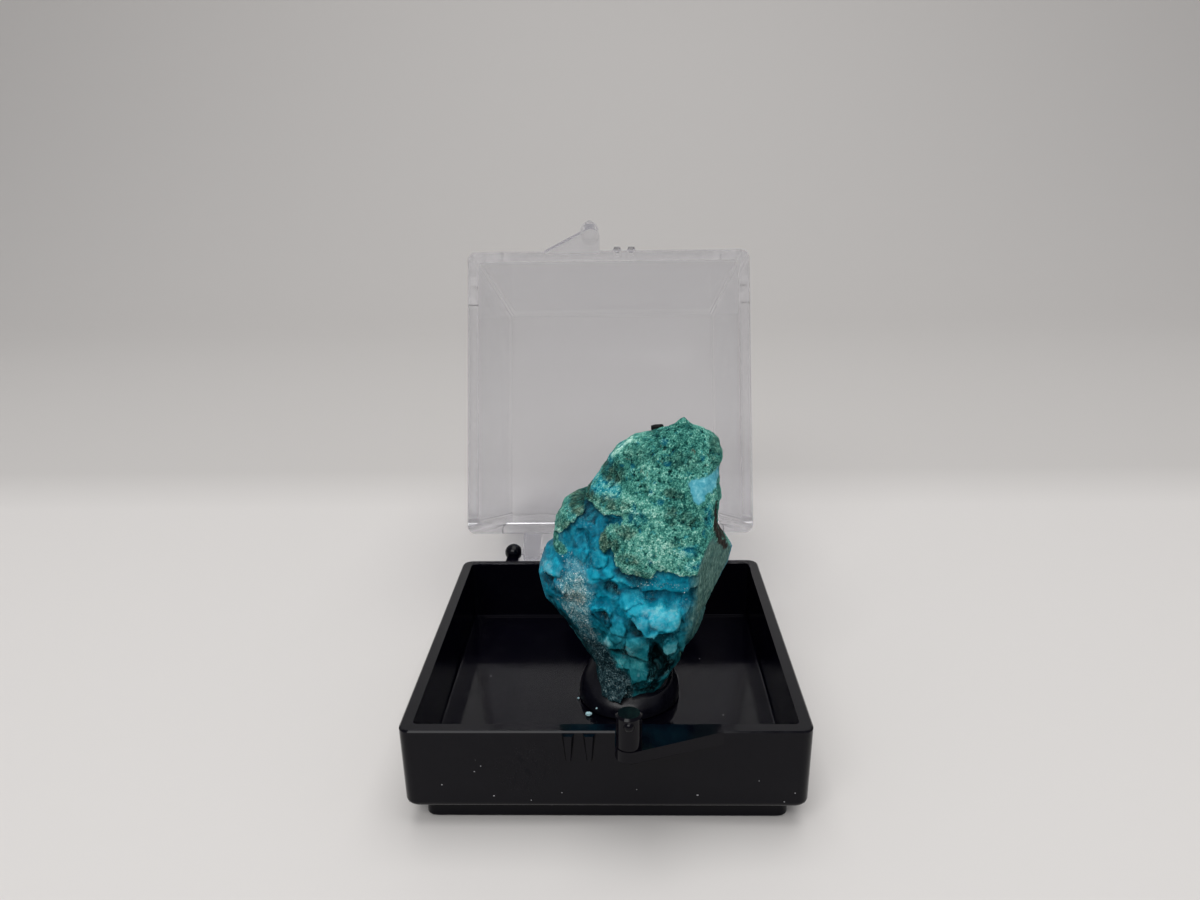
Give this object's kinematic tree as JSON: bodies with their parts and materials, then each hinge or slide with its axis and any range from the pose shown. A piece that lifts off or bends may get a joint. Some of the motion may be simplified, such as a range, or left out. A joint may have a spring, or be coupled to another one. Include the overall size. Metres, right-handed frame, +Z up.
{
  "type": "chrysocolla mineral specimen in a hinged display box",
  "caption": "Blue-green mineral specimen standing on putty in a small open display box with a black tray and a hinged clear lid.",
  "frame": {"origin": "middle of the underside of the tray's foot, on the surface it stands on", "axes": "+Z up, +Y from the latch side to the hinge side, +X to the right seen from the latch side"},
  "size_m": [0.0318, 0.0789, 0.0441],
  "materials": {
    "black_plastic": "black moulded polystyrene, glossy, lightly scuffed and dusty",
    "clear_plastic": "clear moulded polystyrene, polished",
    "black_putty": "black mounting putty, semi-gloss, pressed by hand",
    "chrysocolla": "granular green crust over waxy blue broken stone"
  },
  "bodies": {
    "box": {"tray": "black_plastic", "putty": "black_putty", "specimen": "chrysocolla"},
    "lid": {"lid": "clear_plastic"}
  },
  "joints": [
    {"name": "lid_hinge", "type": "hinge", "parent": "box", "child": "lid", "pos_m": [0, 0.01792, 0.0089], "axis": [1, 0, 0], "range_deg": [0, 109.63]}
  ]
}
